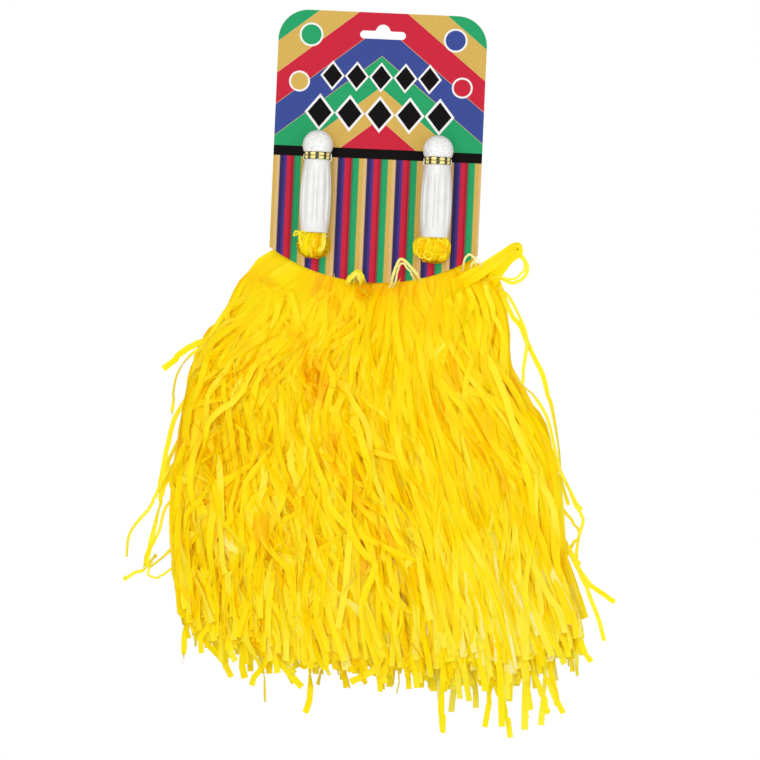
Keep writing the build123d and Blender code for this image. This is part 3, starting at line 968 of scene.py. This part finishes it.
LOOSE_RIGHT = [
    ("loop", 4, 1.2, 0.2, [(44, 180), (58, 178), (69, 171), (80, 164), (90, 157), (98, 151), (101, 152),
        (97, 158), (88, 167), (80, 180)]),
    ("loop", 5, 1.1, 0.2, [(48, 184), (61, 181), (72, 174), (83, 166), (93, 158), (100, 153), (101, 156),
        (94, 163), (86, 174), (80, 188)]),
    ("loop", 3, 0.9, 0.2, [(50, 179), (64, 175), (76, 167), (87, 160), (96, 154), (99, 155), (94, 161),
        (84, 172), (78, 184)]),
    ("loop", 3, 0.5, 0.2, [(76, 174), (89, 162), (97, 156), (103, 157), (107, 163), (107, 170),
        (103, 175), (97, 177), (90, 174), (82, 170), (74, 178)]),
    ("loop", 5, 0.35, 0.3, [(80, 172), (92, 162), (99, 158), (104, 161), (105, 167), (102, 173),
        (96, 175), (86, 174), (76, 182)]),
    ("free", 7, 0.9, 0.2, [(56, 178), (60, 187), (65, 199), (73, 217), (80, 236), (84, 256)]),
    ("free", 7, 0.8, 0.2, [(64, 176), (68, 185), (74, 197), (80, 213), (88, 232)]),
    ("free", 6, 0.9, 0.2, [(50, 180), (54, 190), (59, 204), (62, 222), (68, 244), (77, 266)]),
    ("free", 7, 0.7, 0.3, [(77, 172), (80, 181), (84, 192), (90, 206), (95, 224)]),
    ("tuck", 13, 0.4, 0.1, [(9, 190), (13, 182), (15, 174), (17, 167), (19, 164), (22, 165), (26, 169),
        (30, 173), (33, 177), (36, 182)]),
    ("tuck", 12, 0.3, 0.2, [(12, 188), (15, 181), (17, 173), (19, 167), (22, 167), (25, 171), (29, 176),
        (32, 181)]),
    ("tuck", 11, 0.3, 0.2, [(63, 174), (63, 167), (64, 162), (66, 159), (68, 159), (71, 162), (72, 166),
        (75, 171)]),
    ("tuck", 10, 0.25, 0.2, [(68, 171), (69, 165), (72, 161), (75, 164), (77, 169)]),
    ("free", 4, 0.7, 0.3, [(84, 168), (93, 185), (101, 200), (111, 218), (122, 240), (129, 262),
        (135, 290), (138, 312), (144, 330)]),
    ("free", 8, 0.5, 0.4, [(84, 176), (98, 192), (108, 212), (109, 232), (108, 248)]),
    ("free", 6, 0.5, 0.5, [(96, 236), (112, 252), (124, 268), (131, 288), (136, 306), (146, 326),
        (152, 334)]),
    ("loop", 7, 0.5, 0.5, [(122, 286), (136, 306), (142, 316), (146, 330), (153, 338), (151, 350),
        (144, 368)]),
    ("free", 3, 0.5, 0.4, [(128, 320), (140, 334), (151, 346), (150, 360), (152, 372)]),
    ("free", 5, 0.7, 0.3, [(126, 330), (143, 357), (152, 373), (161, 384), (172, 391), (180, 396)]),
    ("free", 6, 0.6, 0.3, [(136, 344), (148, 366), (158, 384), (166, 404), (172, 424)]),
    ("free", 8, 0.6, 0.3, [(98, 376), (113, 352), (126, 338), (138, 326)]),
    ("free", 9, 0.8, 0.3, [(128, 372), (142, 396), (156, 424), (164, 440)]),
    ("free", 8, 0.8, 0.3, [(110, 412), (126, 436), (139, 462), (146, 476)]),
    ("free", 8, 0.8, 0.3, [(104, 424), (124, 446), (133, 468), (136, 476)]),
    ("free", 12, 0.9, 0.3, [(61, 440), (62, 465), (63, 492)]),
    ("free", 8, 0.8, 0.3, [(92, 440), (104, 470), (109, 494)]),
    ("free", 8, 0.8, 0.3, [(96, 430), (95, 460), (92, 488)]),
]
LOOSE = {"left": LOOSE_LEFT, "right": LOOSE_RIGHT}
LOOSE_STEPS = 40
CURL_PLACE = (-6.0, -6.0, -187.0)  # mm, at the seam just below the card
CURL_AXIS = (0.45, -1.0, 0.5)
CURL_RADIUS, CURL_CLOSING = 6.2, 3.0  # mm, at its outer end, and how much less at its inner end


def card_route(points, start_x, steps):
    """A line by way of places in the card's plane, each x from start_x and depth below z = 0, in mm."""
    return curve_through(np.array([(start_x + x, 0, -down) for x, down in points], float) * MM, steps)


def curled_strip():
    """Line and outward direction of a strip rolled up on itself, which shows between the skirts."""
    axis = unit(np.array(CURL_AXIS))
    first = unit(np.cross(axis, [0.0, 0.0, 1.0]))
    second = np.cross(axis, first)
    turn = np.linspace(0, 2.6 * math.pi, LOOSE_STEPS)[:, None]
    radius = (CURL_RADIUS - CURL_CLOSING * turn / turn[-1]) * MM
    ray = first * np.cos(turn) + second * np.sin(turn)
    return np.array(CURL_PLACE) * MM + ray * radius, ray


def loose_parts(side, tucked, rng):
    """Lines, outward directions, twists, widths, cups and shades of a side's tucks or of its other loose
    strips. Both ends of a loop or a tuck go back into the skirt."""
    rows = [row for row in LOOSE[side] if (row[0] == "tuck") == tucked]
    strips = Strips(rng, len(rows), LOOSE_STEPS)
    t = strips.t
    lines = []
    for end, forward, _, _, points in rows:
        line = card_route(points, 0, LOOSE_STEPS)
        inside = smooth(0, 0.2, t[0]) * (1 if end == "free" else smooth(0, 0.2, 1 - t[0]))
        line[:, 1] = (8 - (8 + forward) * inside) * MM
        lines.append(line)
    lines = np.array(lines)
    settled = smooth(0, 0.2, t)
    turning = np.array([turn for _, _, _, turn, _ in rows])[:, None]
    lines[..., 1] += strips.wander(0.8 * MM, 4)
    for axis in (0, 2):
        lines[..., axis] += strips.creased(2.2 * MM, 9) * settled * turning
    outward = np.broadcast_to(FRONT, lines.shape)
    twist = strips.normal(0, 1) + strips.wander(0.8, 4)
    twist = (twist + strips.creased(1.0, 8)) * turning
    width = STRIP_WIDTH * np.array([share for _, _, share, _, _ in rows])
    shade = (1.4 - 0.8 * width / STRIP_WIDTH + 0.25 * tucked)[:, None]  # painted light: narrow strips and tucks are painted paler
    if tucked and side == "left":
        line, ray = curled_strip()
        lines = np.concatenate([lines, line[None]])
        outward = np.concatenate([outward, ray[None]])
        twist = np.concatenate([twist, np.zeros((1, LOOSE_STEPS))])
        width = np.append(width, STRIP_WIDTH)
        # painted shade: the curl is painted a deep orange, as shade inside it
        shade = np.concatenate([shade, [[-0.3]]])
    return lines, outward, twist, width, np.full((len(lines), 1), 0.05), shade


def loose_strips(side, seed):
    """The strips that stand out from a skirt and move with it."""
    parts = loose_parts(side, False, np.random.default_rng(seed))
    piece = ribbons(f"loose_strips_{side}", *parts)
    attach(piece, f"skirt_{side}")


# --- Film that leaves the handle and passes through the card ---

BAG_STRIPS = 26  # wide flat strips that wrap the bunch
BUNCH_STRIPS = 60  # crumpled ones inside it
BUNCH_STEPS = 26
BUNCH_DEPTH = 7.6  # mm, half the bunch's depth
CURL_BEND = 1.5  # mm, how far a curl's ends go back into the bunch
GATHER_STRIPS = 110
GATHER_REACH = (7.5, 11.5)  # mm
# The way of a fold of FOLD_REACH round the gathered neck: out, and towards the back (mm)
FOLD_REACH = 11
FOLD_ROUTE = ((3, -6.5), (7, -6.0), (10.5, 0.0), (7.5, 5.5), (1.5, 7.0))
# The bunch's half width (mm), how far its middle stands from the handle's axis (mm), and its disorder
BUNCH_SHAPE = {"left": (6.6, -1.4, 0.6), "right": (10.0, -1.8, 1.0)}
# Strips that curl out of the bunch: width (mm), shade, where high values paint highlights and low ones
# paint shade,
# and the places that they pass: x from the handle's axis and how far below z = 0 (mm)
CURLS_LEFT = [
    (1.4, 1.0, [(-6, 151), (-9, 149.5), (-12, 147.8), (-13.4, 149.2), (-13.8, 151.5)]),
    (1.2, 0.8, [(-6, 153), (-9.5, 151), (-11.5, 149.5), (-12.6, 151)]),
    (1.6, 1.0, [(-5, 149), (-8, 147.6), (-9.6, 149), (-9.8, 153), (-8, 158)]),
    (2.0, 1.25, [(7.2, 148.4), (7.8, 151), (7.6, 155), (6.6, 159), (4.8, 161.5)]),
    (1.8, 1.1, [(6.0, 148.6), (6.4, 152), (5.8, 157), (3.4, 161)]),
    (1.8, 0.3, [(-4, 150), (-1, 154), (2, 157), (1, 161)]),
]
CURLS_RIGHT = [
    (1.0, 1.1, [(-6, 149), (-8.4, 149.4), (-10.8, 150.4), (-11.4, 152.5), (-9.2, 153.6), (-8, 151.5)]),
    (1.6, -0.3, [(-7, 150), (-9, 150.6), (-10.4, 152.6), (-10, 154.6), (-8, 154)]),
    (1.4, -0.2, [(-8, 155), (-11, 156.5), (-11.4, 159), (-9, 160.5), (-7, 159)]),
    (1.0, 1.0, [(-10, 154), (-12, 157.5), (-11, 161), (-8, 162.5), (-5, 161)]),
    (1.0, 1.05, [(-5, 157), (-7, 161), (-3.5, 163.5), (-1, 161.5), (-2, 158.5)]),
    (1.0, 0.9, [(-4, 152), (-5.5, 155), (-2.5, 158.5), (1.5, 157), (3, 154)]),
    (1.1, 1.15, [(-6, 147.5), (-4, 150.5), (0, 150.9), (3, 149.6), (6, 151)]),
    (1.5, -0.2, [(2, 150), (4.4, 153), (7.4, 154.5), (8.6, 157), (6, 158)]),
    (1.0, 1.0, [(3, 158), (6, 156.4), (8.6, 158), (7.4, 160.5), (4.5, 162)]),
    (1.4, 0.9, [(7, 147), (8.6, 150), (8.8, 153), (7.4, 156)]),
    (1.2, 0.0, [(-1, 159.5), (1.5, 160.5), (4, 159.5), (5, 161.5)]),
]
CURLS = {"left": CURLS_LEFT, "right": CURLS_RIGHT}


def bunch_keys(rng, count, angle, radius, side, axis, gather, mouth_z, low_z, crumple):
    """Points that strips pass on their way out of the handle, down, and back through the card."""
    u, v = radius * np.cos(angle), radius * np.sin(angle)
    slack = rng.uniform(0, 1, count)
    wide, aside, _ = np.array(BUNCH_SHAPE[side]) * MM
    deep = BUNCH_DEPTH * MM
    keys = np.empty((count, 6, 3))
    # in the handle and at its mouth
    keys[:, :2] = axis + np.stack([u * 6, v * 6, 0 * u], -1)[:, None] * MM
    keys[:, :2, 2] = mouth_z + np.array([7, 0.5]) * MM
    # at the bunch's widest and lowest places
    keys[:, 2] = axis + np.stack([u * wide + aside, v * deep, 0 * u], -1)
    keys[:, 2, 2] = mouth_z - (4.5 + 1.5 * slack) * MM
    keys[:, 3] = axis + np.stack([u * wide + aside, (v * 0.5 + 0.3) * deep, 0 * u], -1)
    keys[:, 3, 2] = gather[2] - (2.0 - 6.0 * v) * MM * (1 + 0.1 * slack)
    keys[:, 3, 2] = np.maximum(keys[:, 3, 2], low_z + 2.0 * MM)
    # in front of the card, and in the gather behind it
    keys[:, 4] = gather + np.stack([u * 8.5, 0 * u - 9.5, v * 6.2], -1) * MM
    keys[:, 5] = gather + np.stack([u * 7.5, 0 * u + 2.0, v * 7.0], -1) * MM
    jitter = rng.normal(0, crumple, keys.shape)
    jitter[:, :2] *= 0.3
    return keys + jitter


def film_bunch(side, seed):
    """Film that wraps the handle's mouth, crumpled strips inside it, and strips that curl out of it."""
    rng = np.random.default_rng(seed)
    low_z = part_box(f"film_bunch_{side}")[0].z
    mouth_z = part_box(f"handle_grip_{side}")[0].z
    gather = middle(f"film_gather_{side}")
    axis = middle(f"handle_grip_{side}")
    crumpled = BUNCH_SHAPE[side][2]
    places = (side, axis, gather, mouth_z, low_z)
    angle = -math.pi / 2 + np.linspace(-1.9, 1.9, BAG_STRIPS) + rng.normal(0, 0.1, BAG_STRIPS)
    radius = rng.uniform(0.94, 1, BAG_STRIPS)
    bag = bunch_keys(rng, BAG_STRIPS, angle, radius, *places, 0.5 * crumpled * MM)
    angle = rng.uniform(0, 2 * math.pi, BUNCH_STRIPS)
    radius = np.sqrt(rng.uniform(0.05, 0.95, BUNCH_STRIPS))
    inner = bunch_keys(rng, BUNCH_STRIPS, angle, radius, *places, 0.9 * MM)
    lines = [curve_through(keys, BUNCH_STEPS) for keys in (*bag, *inner)]
    for _, _, points in CURLS[side]:
        line = card_route(points, axis[0] / MM, BUNCH_STEPS)
        sunk = CURL_BEND * np.abs(np.linspace(-1, 1, BUNCH_STEPS)) ** 3
        line[:, 1] = axis[1] - (BUNCH_DEPTH - sunk) * MM
        lines.append(line)
    lines = np.array(lines)
    curls = len(CURLS[side])
    strips = Strips(rng, len(lines), BUNCH_STEPS)
    centre = np.array([axis[0], gather[1] - 6 * MM, gather[2] + 4 * MM])
    outward = unit(lines - centre)
    outward[-curls:] = unit(outward[-curls:] * 0.4 + FRONT)
    crumple = np.repeat([0.5 * crumpled, 1.0, 0.6], [BAG_STRIPS, BUNCH_STRIPS, curls])[:, None]
    twist = (strips.normal(0, 0.5) + strips.wander(0.6, 3)) * crumple
    twist = twist + strips.creased(0.5, 9) * crumple
    folds = strips.creased(0.8 * MM, 10) * crumple * smooth(0.1, 0.35, strips.t)
    lines = lines + outward * folds[..., None]
    width = np.concatenate([
        rng.uniform(4.5, 7.0, BAG_STRIPS) * MM,
        rng.uniform(3.5, 5.0, BUNCH_STRIPS) * MM,
        np.array([wide for wide, _, _ in CURLS[side]]) * MM,
    ])
    # painted shade: the inner strips are painted deeper, as shade inside the bunch, and the curls bring
    # their own painted highlights and shade
    shade = np.concatenate([
        rng.uniform(0.9 - 0.9 * crumpled, 1.1, BAG_STRIPS),
        rng.uniform(-0.2, 0.9, BUNCH_STRIPS),
        [pale for _, pale, _ in CURLS[side]],
    ])[:, None]
    cup = strips.normal(0, 0.12)
    piece = ribbons(f"crumpled_film_bunch_{side}", lines, outward, twist, width, cup, shade)
    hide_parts(f"film_bunch_{side}")
    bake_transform(piece)


def film_gather(side, seed):
    """Short folds of film that wrap the gathered neck, with the tucks that come from it."""
    rng = np.random.default_rng(seed)
    low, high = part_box(f"film_gather_{side}")
    centre = middle(f"film_gather_{side}")
    strips = Strips(rng, GATHER_STRIPS, LOOSE_STEPS)
    angle = rng.uniform(0, 2 * math.pi, GATHER_STRIPS)
    reach = rng.uniform(*GATHER_REACH, GATHER_STRIPS)
    keys = np.empty((GATHER_STRIPS, len(FOLD_ROUTE), 3))
    ray = np.stack([np.cos(angle), 0 * angle, np.sin(angle)], -1)
    side_ray = np.stack([-np.sin(angle), 0 * angle, np.cos(angle)], -1)
    for k, (out, y) in enumerate(FOLD_ROUTE):
        keys[:, k] = centre + ray * (out * reach / FOLD_REACH)[:, None] * MM - FRONT * y * MM
        keys[:, k] += side_ray * strips.normal(0, 1.5 * MM)
    keys[..., 1] = np.clip(keys[..., 1], low.y + 0.4 * MM, high.y - 0.3 * MM)
    lines = np.array([curve_through(k, LOOSE_STEPS) for k in keys])
    twist = strips.normal(0, 0.5) + strips.wander(0.4, 3)
    width = STRIP_WIDTH * rng.uniform(0.6, 1.0, GATHER_STRIPS)
    folds = (lines, unit(lines - centre), twist, width, strips.normal(0, 0.2), strips.uniform(0, 0.8))
    both = [np.concatenate(pair) for pair in zip(folds, loose_parts(side, True, rng))]
    piece = ribbons(f"folded_film_gather_{side}", *both)
    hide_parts(f"film_gather_{side}")
    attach(piece, f"gather_{side}")


for number, side in enumerate(SIDES):
    neck_tie(side)
    film_roll(side)
    film_bunch(side, 40 + number)
    film_gather(side, 60 + number)
    for depth, layer in enumerate(LAYER_STRIPS):
        streamers(side, layer, 100 + 10 * number + depth)
    loose_strips(side, 80 + number)
